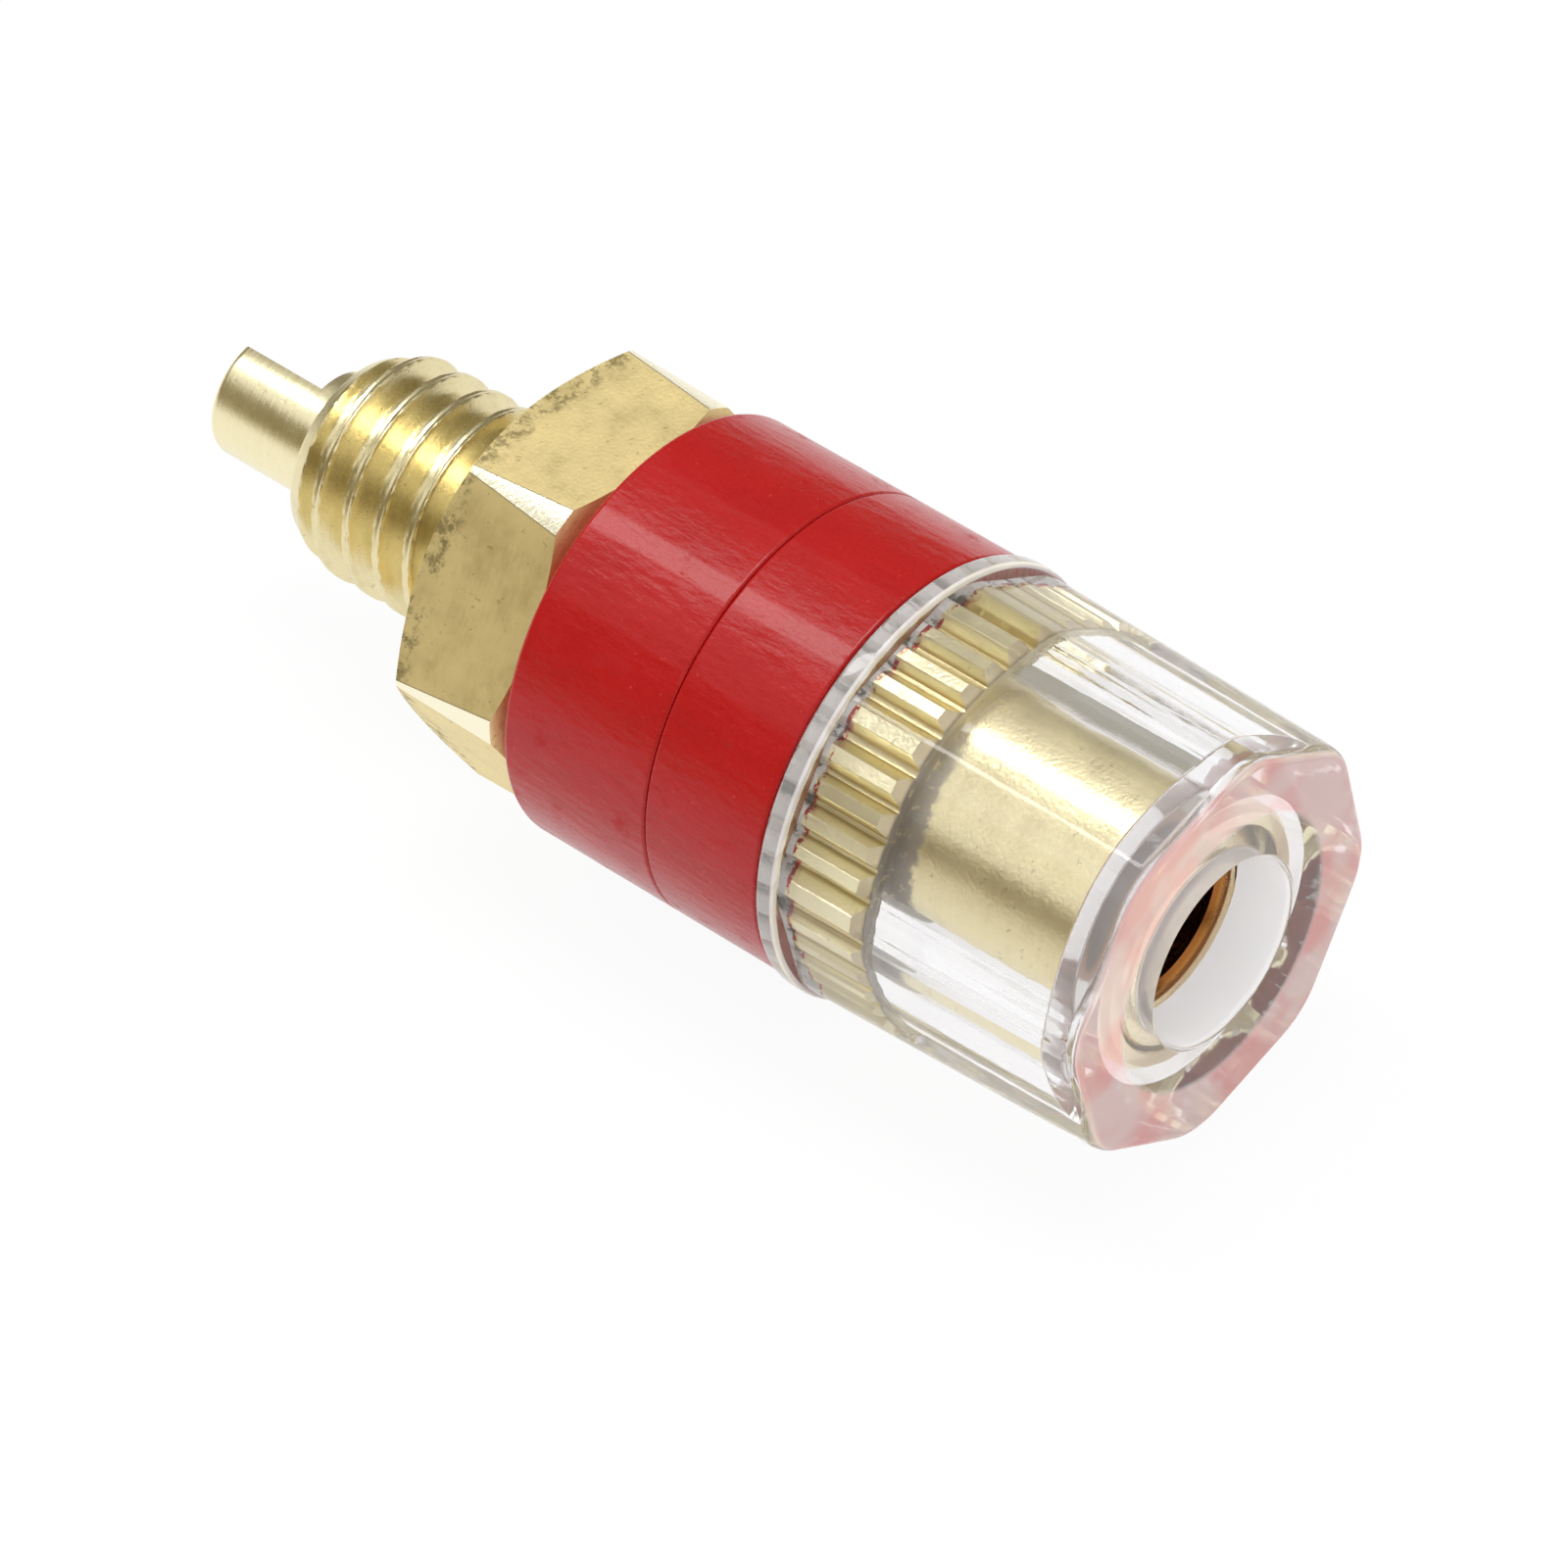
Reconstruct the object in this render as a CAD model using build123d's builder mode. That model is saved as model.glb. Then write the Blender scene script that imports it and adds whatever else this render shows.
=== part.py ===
from build123d import *
import math
import os

# Binding post with a clear screw cap, for a 4 mm plug or a bare wire, fixed through a panel by a nut.
# The axis lies along Y, with the cap towards -Y. The origin is on the axis, in the plane where the
# front insulator seats on the panel. Sizes are in millimetres, with +Z up.

# Socket for the plug, and cross hole for the wire
socket_radius = 2.0
socket_depth = 15.0
socket_lead = 0.15
drill_point_angle = 118.0
post_end_gap = 0.1
wire_hole_radius = 1.0
wire_hole_offset = 1.3

# Stud and front thread, 6 mm coarse and right-handed, with thread_radius at the crests
post_wall = 0.975
thread_radius = socket_radius + post_wall
thread_pitch = 1.0
thread_depth = 0.56
thread_crest_width = 0.2
thread_root_width = 0.15
thread_relief = 0.9
groove_overshoot = 0.1
stud_length = 14.4
stud_lead_step = 0.47
stud_lead_length = 0.9
front_thread_chamfer = 0.25
insulator_fit = 0.07
thread_fit = 0.045

# Collar that holds the post in the front insulator, with two flats against turning
collar_step = 1.025
collar_radius = thread_radius + collar_step
collar_flat_step = 0.525
collar_across_flats = 2 * (thread_radius + collar_flat_step)
collar_thickness = 1.5
collar_fit = 0.05

# Solder tail, a cup cut open along one side
tail_radius = 1.72
tail_length = 3.5
tail_edge_radius = 0.2
cup_wall = 0.52
cup_radius = tail_radius - cup_wall
cup_floor = 0.6
cup_depth = tail_length - cup_floor
cup_opening_height = 0.45
cup_lip = 0.3
cup_opening_length = cup_depth - cup_lip
cup_cut_width = 3 * tail_radius
cup_angle = 26.0

# Nut
nut_side_count = 6
nut_wall = 2.025
nut_across_flats = 2 * (thread_radius + nut_wall)
nut_corner_radius = nut_across_flats / 2 / math.cos(math.pi / nut_side_count)
nut_thickness = 4.05
nut_face_inset = 0.35
nut_face_radius = nut_across_flats / 2 - nut_face_inset
nut_chamfer_angle = 30.0
nut_bore_chamfer = 0.3
nut_front_corner_cut = 0.2
nut_rear_corner_cut = 0.05
nut_front_radius = nut_corner_radius - nut_front_corner_cut
nut_rear_radius = nut_corner_radius - nut_rear_corner_cut

# Insulators, nearly as wide as the nut over its corners
body_share_of_nut = 0.57
body_radius = body_share_of_nut * nut_across_flats
front_length = 3.5
rear_length = 4.5
rear_edge_radius = 0.15
edge_break = 0.12

# Shoulder of the front insulator, which fills the panel hole and nests in the rear insulator
shoulder_wall = 0.955
shoulder_radius = thread_radius + insulator_fit + shoulder_wall
shoulder_length = 0.9
shoulder_side_gap = 0.15
shoulder_end_gap = 0.2

# Clear cap, with a round flange at its base and drafted flats
cap_length = 9.45
cap_seat_gap = 0.05
flange_overhang = 0.12
flange_radius = body_radius + flange_overhang
flange_length = 0.6
flange_edge_radius = 0.15
facet_count = 8
flange_step = 0.37
facet_draft = 0.25
facet_reach_base = flange_radius - flange_step
facet_reach_front = facet_reach_base - facet_draft
facet_corner_radius = 2.2
facet_angle = 14.65
cap_front_edge_radius = 0.3
cap_front_wall = 1.6
cap_hole_clearance = 0.47
cap_hole_radius = socket_radius + cap_hole_clearance
cap_hole_edge_radius = 0.12

# Threaded insert, held in the cap by its knurled end
insert_wall = 0.48
insert_radius = thread_radius + thread_fit + insert_wall
insert_side_gap = 0.3
insert_end_gap = 0.05
insert_edge_chamfer = 0.15
knurl_step = 0.9
knurl_radius = insert_radius + knurl_step
knurl_length = 2.6
knurl_count = 32
knurl_depth = 0.32
groove_width_share = 0.62
groove_floor_width = 0.1
knurl_front_chamfer = 0.25
knurl_fit = 0.03

# Stations along Y
cap_base_y = -front_length - cap_seat_gap
cap_front_y = cap_base_y - cap_length
cavity_floor_y = cap_front_y + cap_front_wall
insert_front_y = cavity_floor_y + insert_end_gap
post_front_y = cavity_floor_y + post_end_gap
knurl_front_y = cap_base_y - knurl_length
collar_back_y = -front_length + collar_thickness
tail_end_y = stud_length + tail_length
nut_back_y = rear_length + nut_thickness


def facing_front(y):
    """Plane across the axis that looks out of the cap, with angles counted from +X towards +Z."""
    return Plane(origin=(0, y, 0), x_dir=(1, 0, 0), z_dir=(0, -1, 0))


def facing_rear(y):
    """Plane across the axis that looks out of the solder tail."""
    return Plane(origin=(0, y, 0), x_dir=(1, 0, 0), z_dir=(0, 1, 0))


def thread_turn():
    """One turn of the groove between a thread's crests: a tapered section on a helix from the upper side."""
    mouth_width = thread_pitch - thread_crest_width
    flank_slope = (mouth_width - thread_root_width) / 2 / thread_depth
    outer_width = mouth_width + 2 * flank_slope * groove_overshoot
    with BuildPart() as turn:
        with BuildLine() as route:
            Helix(pitch=thread_pitch, height=thread_pitch, radius=thread_radius, direction=(0, 1, 0))
        with BuildSketch(Plane(origin=(0, 0, thread_radius), x_dir=(0, 1, 0), z_dir=(1, 0, 0))):
            Polygon(
                (-outer_width / 2, groove_overshoot),
                (-thread_root_width / 2, -thread_depth),
                (thread_root_width / 2, -thread_depth),
                (outer_width / 2, groove_overshoot),
                align=None,
            )
        sweep(path=route.line, is_frenet=True)
    return turn.part


# POST
# One turned piece: threaded front with the socket, collar, stud and solder tail.
with BuildPart() as post:
    with BuildSketch(Plane.XY):
        with BuildLine():
            Polyline(
                (0, post_front_y),
                (thread_radius - front_thread_chamfer, post_front_y),
                (thread_radius, post_front_y + front_thread_chamfer),
                (thread_radius, -front_length),
                (collar_radius, -front_length),
                (collar_radius, collar_back_y),
                (thread_radius, collar_back_y),
                (thread_radius, stud_length - stud_lead_length),
                (thread_radius - stud_lead_step, stud_length),
                (tail_radius, stud_length),
                (tail_radius, tail_end_y),
                (0, tail_end_y),
                close=True,
            )
        make_face()
    revolve(axis=Axis.Y)
    fillet(post.edges().group_by(Axis.Y)[-1], radius=tail_edge_radius)
    # Two flats on the collar
    with BuildSketch(facing_front(collar_back_y)):
        Circle(collar_radius)
        Rectangle(2 * collar_radius, collar_across_flats, mode=Mode.SUBTRACT)
    extrude(amount=collar_thickness, mode=Mode.SUBTRACT)
    # Threads behind and in front of the collar, turn by turn from a relief beside it to past the end
    stud_thread_y = collar_back_y + thread_relief
    front_thread_y = -front_length - thread_relief
    stud_turn_count = math.ceil((stud_length + thread_pitch / 2 - stud_thread_y) / thread_pitch)
    front_turn_count = math.ceil((front_thread_y - post_front_y + thread_pitch / 2) / thread_pitch)
    stud_stations = [stud_thread_y + turn * thread_pitch for turn in range(stud_turn_count)]
    front_stations = [front_thread_y - (turn + 1) * thread_pitch for turn in range(front_turn_count)]
    with Locations(*[(0, station, 0) for station in stud_stations + front_stations]):
        add(thread_turn(), mode=Mode.SUBTRACT)
    # Socket for the plug, with a lead at its mouth and a drill point at its end
    drill_point_length = socket_radius / math.tan(math.radians(drill_point_angle / 2))
    with BuildSketch(Plane.XY):
        with BuildLine():
            Polyline(
                (0, post_front_y),
                (socket_radius + socket_lead, post_front_y),
                (socket_radius, post_front_y + socket_lead),
                (socket_radius, post_front_y + socket_depth),
                (0, post_front_y + socket_depth + drill_point_length),
                close=True,
            )
        make_face()
    revolve(axis=Axis.Y, mode=Mode.SUBTRACT)
    # Cross hole for the wire, just in front of the collar
    with BuildSketch(Plane.XY):
        with Locations((0, -front_length - wire_hole_offset)):
            Circle(wire_hole_radius)
    extrude(amount=thread_radius, both=True, mode=Mode.SUBTRACT)
    # Solder cup: a blind bore, then the side that is cut away
    with Locations(facing_rear(tail_end_y)):
        Hole(radius=cup_radius, depth=cup_depth)
    with BuildSketch(facing_front(tail_end_y)):
        with PolarLocations(cup_opening_height + tail_radius, 1, start_angle=cup_angle):
            Rectangle(2 * tail_radius, cup_cut_width)
    extrude(amount=cup_opening_length, mode=Mode.SUBTRACT)
post.part.label = "post"


# FRONT INSULATOR
# Moulded ring with a recess for the collar and a shoulder that fills the panel hole.
with BuildPart() as front_insulator:
    with BuildSketch(Plane.XY):
        with BuildLine():
            Polyline(
                (thread_radius + insulator_fit, -front_length),
                (body_radius, -front_length),
                (body_radius, 0),
                (shoulder_radius, 0),
                (shoulder_radius, shoulder_length),
                (thread_radius + insulator_fit, shoulder_length),
                close=True,
            )
        make_face()
    revolve(axis=Axis.Y)
    fillet(front_insulator.edges().filter_by(GeomType.CIRCLE).sort_by(SortBy.LENGTH)[-2:], radius=edge_break)
    # Recess that takes the collar and its flats
    with BuildSketch(facing_rear(-front_length)):
        Circle(collar_radius + collar_fit)
        Rectangle(
            2 * (collar_radius + collar_fit), collar_across_flats + 2 * collar_fit, mode=Mode.INTERSECT
        )
    extrude(amount=collar_thickness, mode=Mode.SUBTRACT)
front_insulator.part.label = "front_insulator"


# REAR INSULATOR
# Moulded ring behind the panel, counterbored for the shoulder, with a rounded rear edge.
with BuildPart() as rear_insulator:
    with BuildSketch(Plane.XY):
        with BuildLine():
            Polyline(
                (shoulder_radius + shoulder_side_gap, 0),
                (body_radius, 0),
                (body_radius, rear_length),
                (thread_radius + insulator_fit, rear_length),
                (thread_radius + insulator_fit, shoulder_length + shoulder_end_gap),
                (shoulder_radius + shoulder_side_gap, shoulder_length + shoulder_end_gap),
                close=True,
            )
        make_face()
    revolve(axis=Axis.Y)
    outer_edges = rear_insulator.edges().filter_by(GeomType.CIRCLE).sort_by(SortBy.LENGTH)[-2:].sort_by(Axis.Y)
    fillet(outer_edges[0], radius=edge_break)
    fillet(outer_edges[1], radius=rear_edge_radius)
rear_insulator.part.label = "rear_insulator"


# HEX NUT
# Thin nut with both faces chamfered and its corners turned down, more so at the front.
with BuildPart() as hex_nut:
    with BuildSketch(facing_rear(rear_length)):
        RegularPolygon(radius=nut_across_flats / 2, side_count=nut_side_count, major_radius=False)
    extrude(amount=nut_thickness)
    chamfer_slope = math.tan(math.radians(nut_chamfer_angle))
    nut_front_rise = (nut_front_radius - nut_face_radius) * chamfer_slope
    nut_rear_rise = (nut_rear_radius - nut_face_radius) * chamfer_slope
    with BuildSketch(Plane.XY):
        with BuildLine():
            Polyline(
                (0, rear_length),
                (nut_face_radius, rear_length),
                (nut_front_radius, rear_length + nut_front_rise),
                (nut_rear_radius, nut_back_y - nut_rear_rise),
                (nut_face_radius, nut_back_y),
                (0, nut_back_y),
                close=True,
            )
        make_face()
    revolve(axis=Axis.Y, mode=Mode.INTERSECT)
    with Locations(facing_rear(nut_back_y)):
        Hole(radius=thread_radius + thread_fit)
    chamfer(hex_nut.edges().filter_by(GeomType.CIRCLE).sort_by(SortBy.RADIUS)[:2], length=nut_bore_chamfer)
hex_nut.part.label = "hex_nut"


# CAP INSERT
# Turned sleeve, threaded through, with a straight knurl round its base.
with BuildPart() as cap_insert:
    # A groove's outline runs as far outside the knurl as inside it, and has its mouth width in between
    groove_mouth_width = groove_width_share * 2 * math.pi * knurl_radius / knurl_count
    groove_outline_width = 2 * groove_mouth_width - groove_floor_width
    with BuildSketch(facing_front(cap_base_y)):
        Circle(knurl_radius)
        with PolarLocations(knurl_radius, knurl_count):
            Polygon(
                (knurl_depth, groove_outline_width / 2),
                (-knurl_depth, groove_floor_width / 2),
                (-knurl_depth, -groove_floor_width / 2),
                (knurl_depth, -groove_outline_width / 2),
                align=None,
                mode=Mode.SUBTRACT,
            )
    extrude(amount=knurl_length)
    # Chamfer round the front of the knurl
    with BuildSketch(Plane.XY):
        with BuildLine():
            Polyline(
                (0, cap_base_y),
                (knurl_radius, cap_base_y),
                (knurl_radius, knurl_front_y + knurl_front_chamfer),
                (knurl_radius - knurl_front_chamfer, knurl_front_y),
                (0, knurl_front_y),
                close=True,
            )
        make_face()
    revolve(axis=Axis.Y, mode=Mode.INTERSECT)
    # Smooth sleeve, then the bore
    with BuildSketch(facing_front(knurl_front_y)):
        Circle(insert_radius)
    extrude(amount=knurl_front_y - insert_front_y)
    chamfer(cap_insert.edges().group_by(Axis.Y)[0], length=insert_edge_chamfer)
    with Locations(facing_front(insert_front_y)):
        Hole(radius=thread_radius + thread_fit)
cap_insert.part.label = "cap_insert"


# CLEAR CAP
# Moulded cap with drafted flats, a round flange, and a stepped cavity for the insert.
with BuildPart() as clear_cap:
    for station_y, facet_reach in ((cap_base_y, facet_reach_base), (cap_front_y, facet_reach_front)):
        with BuildSketch(facing_front(station_y)) as outline:
            RegularPolygon(
                radius=facet_reach,
                side_count=facet_count,
                major_radius=False,
                rotation=facet_angle - 180 / facet_count,
            )
            fillet(outline.vertices(), radius=facet_corner_radius)
    loft()
    fillet(clear_cap.edges().group_by(Axis.Y)[0], radius=cap_front_edge_radius)
    # Round flange at the base
    with BuildSketch(Plane.XY) as flange_section:
        with BuildLine():
            Polyline(
                (0, cap_base_y),
                (flange_radius, cap_base_y),
                (flange_radius, cap_base_y - flange_length),
                (0, cap_base_y - flange_length),
                close=True,
            )
        make_face()
        fillet(flange_section.vertices().group_by(Axis.X)[-1], radius=flange_edge_radius)
    revolve(axis=Axis.Y)
    # Cavity: a seat for the knurl, then room round the sleeve
    with BuildSketch(Plane.XY):
        with BuildLine():
            Polyline(
                (0, cap_base_y),
                (knurl_radius + knurl_fit, cap_base_y),
                (knurl_radius + knurl_fit, knurl_front_y - insert_end_gap),
                (insert_radius + insert_side_gap, knurl_front_y - insert_end_gap),
                (insert_radius + insert_side_gap, cavity_floor_y),
                (0, cavity_floor_y),
                close=True,
            )
        make_face()
    revolve(axis=Axis.Y, mode=Mode.SUBTRACT)
    # Hole for the plug through the front wall
    with Locations(facing_front(cap_front_y)):
        Hole(radius=cap_hole_radius, depth=cap_front_wall)
    fillet(clear_cap.edges().filter_by(GeomType.CIRCLE).group_by(Axis.Y)[0], radius=cap_hole_edge_radius)
clear_cap.part.label = "clear_cap"


os.makedirs("parts", exist_ok=True)
export_step(post.part, "parts/post.step")
export_step(front_insulator.part, "parts/front_insulator.step")
export_step(rear_insulator.part, "parts/rear_insulator.step")
export_step(hex_nut.part, "parts/hex_nut.step")
export_step(cap_insert.part, "parts/cap_insert.step")
export_step(clear_cap.part, "parts/clear_cap.step")
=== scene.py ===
import math

import bpy
import numpy as np
from mathutils import Matrix, Vector


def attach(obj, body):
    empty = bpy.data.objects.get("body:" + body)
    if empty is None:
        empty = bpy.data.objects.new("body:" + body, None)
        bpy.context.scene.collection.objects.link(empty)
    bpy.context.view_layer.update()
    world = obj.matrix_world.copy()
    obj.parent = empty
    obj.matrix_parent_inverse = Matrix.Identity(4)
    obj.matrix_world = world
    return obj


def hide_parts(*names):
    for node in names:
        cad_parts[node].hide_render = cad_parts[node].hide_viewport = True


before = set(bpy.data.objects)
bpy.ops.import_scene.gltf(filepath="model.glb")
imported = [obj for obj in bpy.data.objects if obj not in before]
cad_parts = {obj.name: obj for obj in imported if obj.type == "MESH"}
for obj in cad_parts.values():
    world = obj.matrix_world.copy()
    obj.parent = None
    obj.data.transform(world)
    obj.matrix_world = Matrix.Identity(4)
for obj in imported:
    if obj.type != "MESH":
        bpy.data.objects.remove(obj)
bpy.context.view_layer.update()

# Post
# One turned brass piece with a gold flash: a threaded front bored for the plug, a collar that sits in the
# front insulator, a 6 mm stud, and a solder cup that is open along one side. The wire hole goes across.
MM = 0.001
ARC_STEPS = 6
CREASE = 28.0
CREST = 2.975
PITCH = 1.0
THREAD_DEPTH = 0.56
CREST_WIDTH = 0.2
ROOT_WIDTH = 0.15
STUD_PHASE = 0.4
FRONT_PHASE = 0.1
SEAM_DEPTH = 0.02
SEAM_HALF = 0.06
POST_COLUMNS = 144
SOCKET = 2.0
SOCKET_END = 3.7
SOCKET_TIP = 4.9
SOCKET_CHAMFER = 0.15
POST_FRONT = -11.3
FRONT_EDGE = 0.12
COLLAR_FRONT = -3.5
COLLAR_BACK = -2.0
COLLAR_RADIUS = 4.0
COLLAR_FLAT = 3.5
STUD_IN_SIGHT = 8.0
STUD_END = 14.4
STUD_LEAD = 0.9
STUD_LEAD_STEP = 0.47
TAIL_END = 17.9
TAIL_RADIUS = 1.72
CUP_RADIUS = 1.2
CUP_FLOOR = 15.0


def rounded_path(corners, closed):
    """A profile of straight runs whose corners are rounded.

    A corner is (radius, station, rounding). Its arc is tangent to both runs, so it starts at rounding over
    the tangent of half the angle between them, and its points turn evenly about the arc's centre.
    """
    corners = np.array(corners, float)
    here = corners[:, :2]
    back = np.roll(here, 1, axis=0) - here
    on = np.roll(here, -1, axis=0) - here
    back /= np.linalg.norm(back, axis=1)[:, None]
    on /= np.linalg.norm(on, axis=1)[:, None]
    half = 0.5 * np.arccos(np.clip((back * on).sum(axis=1), -1, 1))
    parts = []
    for k, rounding in enumerate(corners[:, 2]):
        ends_here = not closed and k in (0, len(corners) - 1)
        if rounding == 0 or ends_here:
            parts.append(here[k : k + 1])
            continue
        middle = (back[k] + on[k]) / np.linalg.norm(back[k] + on[k])
        centre = here[k] + middle * rounding / np.sin(half[k])
        start = here[k] + back[k] * rounding / np.tan(half[k]) - centre
        end = here[k] + on[k] * rounding / np.tan(half[k]) - centre
        turn = np.pi - 2 * half[k]
        share = np.linspace(0, 1, ARC_STEPS + 1)[:, None]
        swung = np.sin((1 - share) * turn) * start + np.sin(share * turn) * end
        parts.append(centre + swung / np.sin(turn))
    return np.concatenate(parts)


def around_axis(radius, station, angle):
    """Points at a radius and a station along Y, at angles counted from +X towards +Z."""
    radius, station, angle = np.broadcast_arrays(radius, station, angle)
    return np.stack([radius * np.cos(angle), station, radius * np.sin(angle)], axis=-1)


def two_flats(radius, flat, angle):
    """Radii round a circle that has a flat above and a flat below."""
    return np.minimum(radius, flat / np.maximum(np.abs(np.sin(angle)), 1e-6))


def grid_faces(index):
    """The four corners of each cell in a grid of point numbers."""
    corners = [index[:-1, :-1], index[:-1, 1:], index[1:, 1:], index[1:, :-1]]
    return np.stack(corners, axis=-1).reshape(-1, 4)


def skin(name, points, closed_profile, crease=CREASE):
    """A closed mesh over a grid of points in millimetres: rows follow the profile, columns go round the axis.

    Points that coincide become one, a face that loses a corner by that becomes a triangle, and the faces are
    turned outwards by the sign of the volume, the sum of each triangle's triple product over six.
    """
    rows, columns = points.shape[:2]
    flat = points.reshape(-1, 3)
    rounded = np.round(flat * 1e5).astype(np.int64)
    _, first, where = np.unique(rounded, axis=0, return_index=True, return_inverse=True)
    index = where.reshape(rows, columns)
    if closed_profile:
        index = np.concatenate([index, index[:1]])
    index = np.concatenate([index, index[:, :1]], axis=1)
    faces = grid_faces(index)
    doubled = faces == np.roll(faces, -1, axis=1)
    quads = faces[doubled.sum(axis=1) == 0]
    thirds = faces[doubled.sum(axis=1) == 1]
    lost = doubled[doubled.sum(axis=1) == 1].argmax(axis=1)
    triangles = np.stack([thirds[np.arange(len(thirds)), (lost + k) % 4] for k in (1, 2, 3)], axis=1)
    place = flat[first]
    halves = np.concatenate([quads[:, [0, 1, 2]], quads[:, [0, 2, 3]], triangles])
    a, b, c = (place[halves[:, k]] for k in range(3))
    if np.einsum("ij,ij->i", a, np.cross(b, c)).sum() < 0:
        quads, triangles = quads[:, ::-1], triangles[:, ::-1]
    mesh = bpy.data.meshes.new(name)
    mesh.from_pydata((place * MM).tolist(), [], quads.tolist() + triangles.tolist())
    mesh.validate()
    mesh.shade_smooth()
    mesh.set_sharp_from_angle(angle=math.radians(crease))
    piece = bpy.data.objects.new(name, mesh)
    bpy.context.scene.collection.objects.link(piece)
    return piece


def even_shading(piece):
    """Lets the larger faces set the shading at shared corners, so that flats stay flat beside roundings."""
    modifier = piece.modifiers.new("even_shading", "WEIGHTED_NORMAL")
    modifier.mode = "FACE_AREA"
    modifier.keep_sharp = True
    modifier.weight = 100


def thread(angle, station, crest, depth, phase):
    """Radius of a right-hand thread whose crest passes the upper side at a phase.

    The distance from the crest's middle is folded into half a pitch. The radius keeps to the crest over half
    the crest's width, falls in a straight flank, and keeps to the root over half the root's width. A rolled
    crest has a shallow seam along its middle.
    """
    turn = (station - phase) / PITCH - (np.pi / 2 - angle) / (2 * np.pi)
    fold = np.abs((turn + 0.5) % 1.0 - 0.5) * PITCH
    fall = np.clip((fold - CREST_WIDTH / 2) / ((PITCH - CREST_WIDTH - ROOT_WIDTH) / 2), 0, 1)
    seam = SEAM_DEPTH * np.clip(1 - fold / SEAM_HALF, 0, 1)
    return crest - depth * fall - seam


post_angle = 2 * np.pi * np.arange(POST_COLUMNS) / POST_COLUMNS
collar = two_flats(COLLAR_RADIUS, COLLAR_FLAT, post_angle)
socket_path = rounded_path(
    [
        (0, SOCKET_TIP, 0),
        (SOCKET, SOCKET_END, 0),
        (SOCKET, POST_FRONT + SOCKET_CHAMFER, 0),
        (SOCKET + SOCKET_CHAMFER, POST_FRONT, 0),
    ],
    False,
)
front_stations = np.linspace(POST_FRONT, COLLAR_FRONT, 160)
front_limit = np.minimum(CREST, CREST - FRONT_EDGE + (front_stations - POST_FRONT))
front_thread = thread(post_angle, front_stations[:, None], CREST, THREAD_DEPTH, FRONT_PHASE)
front_thread = np.minimum(front_thread, front_limit[:, None])
hidden_stations = np.linspace(COLLAR_BACK, STUD_IN_SIGHT, 150)
stud_stations = np.concatenate([hidden_stations, np.linspace(STUD_IN_SIGHT, STUD_END, 240)[1:]])
stud_rise = (STUD_END - stud_stations) * STUD_LEAD_STEP / STUD_LEAD
stud_limit = np.minimum(CREST, CREST - STUD_LEAD_STEP + stud_rise)
stud_thread = thread(post_angle, stud_stations[:, None], CREST, THREAD_DEPTH, STUD_PHASE)
stud_thread = np.minimum(stud_thread, stud_limit[:, None])
tail_path = rounded_path(
    [
        (TAIL_RADIUS, STUD_END, 0),
        (TAIL_RADIUS, TAIL_END, 0.2),
        (CUP_RADIUS, TAIL_END, 0.1),
        (CUP_RADIUS, CUP_FLOOR, 0),
        (0, CUP_FLOOR, 0),
    ],
    False,
)
columns = np.ones(POST_COLUMNS)
post_rows = [
    around_axis(socket_path[:, :1] * columns, socket_path[:, 1:], post_angle),
    around_axis(front_thread, front_stations[:, None], post_angle),
    around_axis(collar[None], COLLAR_FRONT, post_angle),
    around_axis(collar[None], COLLAR_BACK, post_angle),
    around_axis(stud_thread, stud_stations[:, None], post_angle),
    around_axis(tail_path[:, :1] * columns, tail_path[:, 1:], post_angle),
]
post = skin("post_body", np.concatenate(post_rows), False)


def cut_away(piece, *cutters):
    """Takes the cutters' volumes out of a piece and removes the cutters."""
    for cutter in cutters:
        cut = piece.modifiers.new("cut", "BOOLEAN")
        cut.operation = "DIFFERENCE"
        cut.solver = "EXACT"
        cut.object = cutter
    bpy.context.view_layer.update()
    cut_mesh = bpy.data.meshes.new_from_object(piece.evaluated_get(bpy.context.evaluated_depsgraph_get()))
    piece.modifiers.clear()
    piece.data = cut_mesh
    for cutter in cutters:
        bpy.data.objects.remove(cutter)


# The cutters are a rod along Z through the front, and a block that opens the cup on its upper side
WIRE_HOLE = 1.0
WIRE_STATION = -4.8
ROD_HALF = 4.0
ROD_COLUMNS = 48
OPENING_TURN = math.radians(26.0)
BLOCK_MIDDLE = 2.45
BLOCK_HALF_HEIGHT = 2.0
BLOCK_HALF_WIDTH = 2.6
OPENING_FRONT = 15.3
BLOCK_BACK = 19.0
rod_angle = 2 * np.pi * np.arange(ROD_COLUMNS) / ROD_COLUMNS
rod_radius = np.array([0, WIRE_HOLE, WIRE_HOLE, 0])[:, None]
rod_height = np.array([-ROD_HALF, -ROD_HALF, ROD_HALF, ROD_HALF])[:, None]
rod_x = rod_radius * np.cos(rod_angle)
rod_y = WIRE_STATION + rod_radius * np.sin(rod_angle)
rod_points = np.stack(np.broadcast_arrays(rod_x, rod_y, rod_height), axis=-1)
wire_rod = skin("wire_rod", rod_points, False)
block_radius = np.array([0, 1, 1, 0])[:, None]
block_corner = np.pi / 4 + np.pi / 2 * np.arange(4)
block_x = BLOCK_MIDDLE + block_radius * BLOCK_HALF_HEIGHT * np.sign(np.cos(block_corner))
block_z = block_radius * BLOCK_HALF_WIDTH * np.sign(np.sin(block_corner))
block_y = np.array([OPENING_FRONT, OPENING_FRONT, BLOCK_BACK, BLOCK_BACK])[:, None]
block_points = np.stack(
    np.broadcast_arrays(
        block_x * math.cos(OPENING_TURN) - block_z * math.sin(OPENING_TURN),
        block_y,
        block_x * math.sin(OPENING_TURN) + block_z * math.cos(OPENING_TURN),
    ),
    axis=-1,
)
cup_block = skin("cup_block", block_points, False)
cut_away(post, wire_rod, cup_block)
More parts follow.
